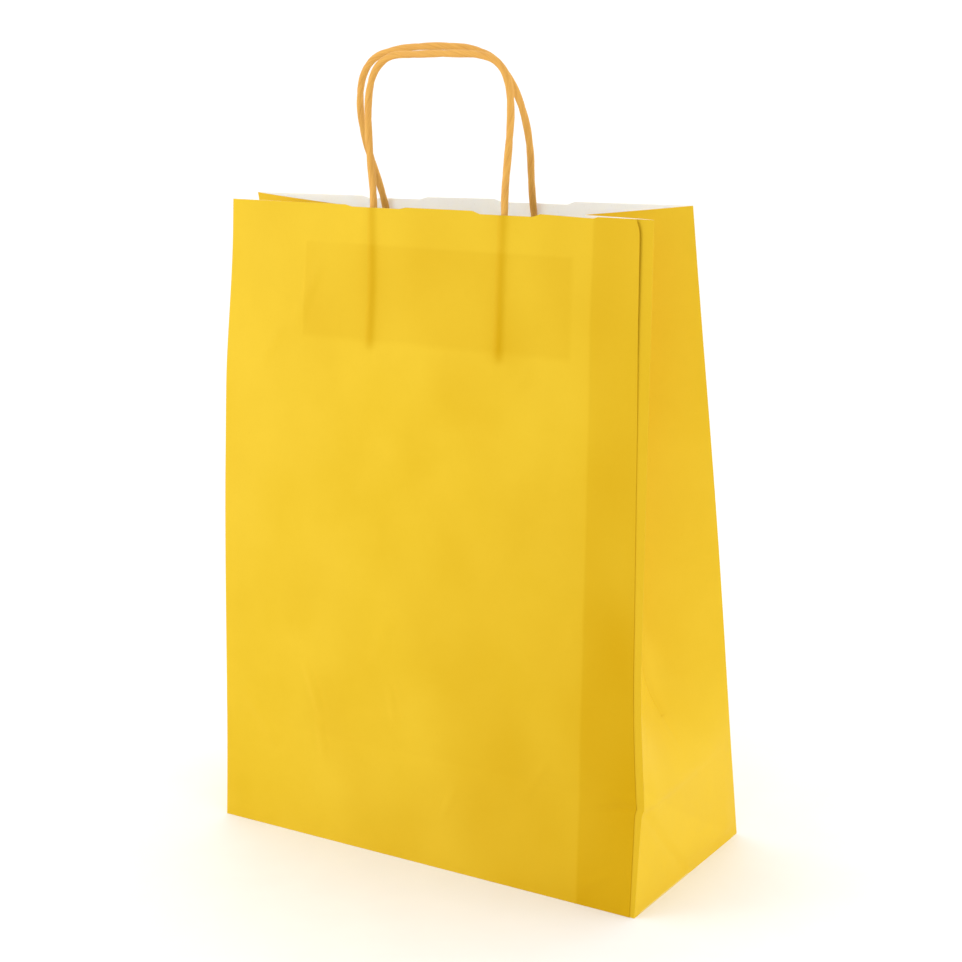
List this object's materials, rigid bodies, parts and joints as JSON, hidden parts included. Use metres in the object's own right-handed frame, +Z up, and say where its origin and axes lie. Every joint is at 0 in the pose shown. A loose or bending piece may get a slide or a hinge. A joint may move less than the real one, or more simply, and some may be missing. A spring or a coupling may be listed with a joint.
{
  "type": "gift bag",
  "caption": "Upright paper gift bag with folded side gussets, a pasted block base and two twisted paper cord handles.",
  "frame": {"origin": "centre of the rectangular base, on the surface that the bag stands on", "axes": "+X along the front panel to the right-hand gusset, +Y from the front panel to the rear panel, +Z up to the mouth and handles"},
  "size_m": [0.2398, 0.1097, 0.3976],
  "materials": {
    "bag_paper": "matte",
    "patch_paper": "matte",
    "cord_paper": "matte"
  },
  "bodies": {
    "base": {"base_rear_flap": "bag_paper", "base_front_flap": "bag_paper", "base_right_tuck": "bag_paper", "base_left_tuck": "bag_paper", "right_front_gusset_foot": "bag_paper", "right_rear_gusset_foot": "bag_paper", "left_front_gusset_foot": "bag_paper", "left_rear_gusset_foot": "bag_paper"},
    "front_panel": {"front_panel": "bag_paper", "seam_flap": "bag_paper", "front_outer_patch": "patch_paper", "front_inner_patch": "patch_paper", "front_handle_left_end": "cord_paper", "front_handle_right_end": "cord_paper"},
    "rear_panel": {"rear_panel": "bag_paper", "rear_outer_patch": "patch_paper", "rear_inner_patch": "patch_paper", "rear_handle_left_end": "cord_paper", "rear_handle_right_end": "cord_paper"},
    "front_handle": {"front_handle_loop": "cord_paper"},
    "rear_handle": {"rear_handle_loop": "cord_paper"},
    "right_front_gusset": {"right_front_gusset_half": "bag_paper"},
    "right_rear_gusset": {"right_rear_gusset_half": "bag_paper"},
    "left_front_gusset": {"left_front_gusset_half": "bag_paper"},
    "left_rear_gusset": {"left_rear_gusset_half": "bag_paper"}
  },
  "joints": [
    {"name": "front_panel_tilt", "type": "hinge", "parent": "base", "child": "front_panel", "pos_m": [0, -0.055, 0], "axis": [1, 0, 0], "range_deg": [-0.4, 0.9]},
    {"name": "rear_panel_tilt", "type": "hinge", "parent": "base", "child": "rear_panel", "pos_m": [0, 0.055, 0], "axis": [-1, 0, 0], "range_deg": [-0.9, 2]},
    {"name": "front_handle_swing", "type": "hinge", "parent": "front_panel", "child": "front_handle", "pos_m": [0.0045, -0.03125, 0.32213], "axis": [1, 0, 0], "range_deg": [0, 90]},
    {"name": "rear_handle_swing", "type": "hinge", "parent": "rear_panel", "child": "rear_handle", "pos_m": [-0.009, 0.00493, 0.31911], "axis": [-1, 0, 0], "range_deg": [0, 100]},
    {"name": "right_front_gusset_fold", "type": "hinge", "parent": "front_panel", "child": "right_front_gusset", "pos_m": [0.1196, -0.0538, -0.00008], "axis": [0, -0.0663, -0.9978], "range_deg": [-4.2, 9.2]},
    {"name": "right_rear_gusset_fold", "type": "hinge", "parent": "rear_panel", "child": "right_rear_gusset", "pos_m": [0.1196, 0.05381, -0.00018], "axis": [0, -0.1478, 0.989], "range_deg": [-4.2, 9.2]},
    {"name": "left_front_gusset_fold", "type": "hinge", "parent": "front_panel", "child": "left_front_gusset", "pos_m": [-0.1196, -0.0538, -0.00008], "axis": [0, 0.0663, 0.9978], "range_deg": [-4.2, 9.2]},
    {"name": "left_rear_gusset_fold", "type": "hinge", "parent": "rear_panel", "child": "left_rear_gusset", "pos_m": [-0.1196, 0.05381, -0.00018], "axis": [0, 0.1478, -0.989], "range_deg": [-4.2, 9.2]}
  ],
  "couplings": [
    {"joint": "rear_panel_tilt", "follows": "front_panel_tilt", "ratio": 2.2},
    {"joint": "right_front_gusset_fold", "follows": "front_panel_tilt", "ratio": 10},
    {"joint": "right_rear_gusset_fold", "follows": "front_panel_tilt", "ratio": 10},
    {"joint": "left_front_gusset_fold", "follows": "front_panel_tilt", "ratio": 10},
    {"joint": "left_rear_gusset_fold", "follows": "front_panel_tilt", "ratio": 10}
  ]
}
